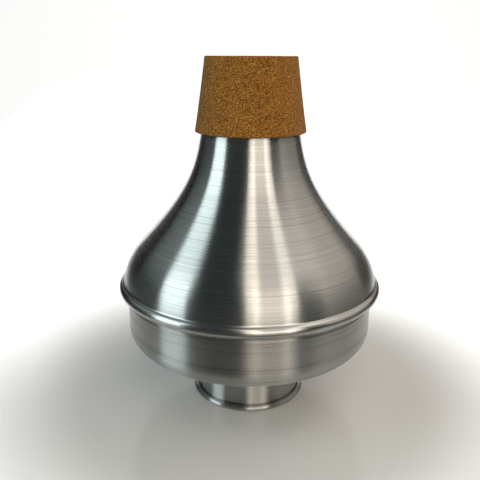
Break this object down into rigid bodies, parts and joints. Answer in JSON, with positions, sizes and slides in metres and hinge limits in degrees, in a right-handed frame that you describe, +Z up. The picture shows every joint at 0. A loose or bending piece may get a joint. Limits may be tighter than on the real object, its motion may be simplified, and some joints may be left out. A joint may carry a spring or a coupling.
{
  "type": "trombone wah-wah mute",
  "caption": "Trombone wah-wah mute: spun aluminium body with flared neck, rolled bead and bowl, a tapered cork collar, and a cupped stem that slides in a cork-lined sleeve.",
  "frame": {"origin": "centre of the ring that the stem cup's curled rim stands on", "axes": "+Z up along the mute's axis, from the stem cup to the open end of the neck"},
  "size_m": [0.156, 0.156, 0.202],
  "materials": {
    "spun_aluminium": "spun and brushed along the turning lines",
    "drawn_aluminium": "drawn tube, bright satin",
    "cork": "agglomerated cork, sanded"
  },
  "bodies": {
    "stem": {"stem_cup": "spun_aluminium", "stem_tube": "drawn_aluminium"},
    "mute_body": {"guide_sleeve": "drawn_aluminium", "sleeve_lining": "cork", "sleeve_ring": "drawn_aluminium", "lower_shell": "spun_aluminium", "upper_shell": "spun_aluminium", "cork_collar": "cork"}
  },
  "joints": [
    {"name": "stem_slide", "type": "slide", "parent": "stem", "child": "mute_body", "axis": [0, 0, 1], "range_m": [0, 0.075]}
  ]
}
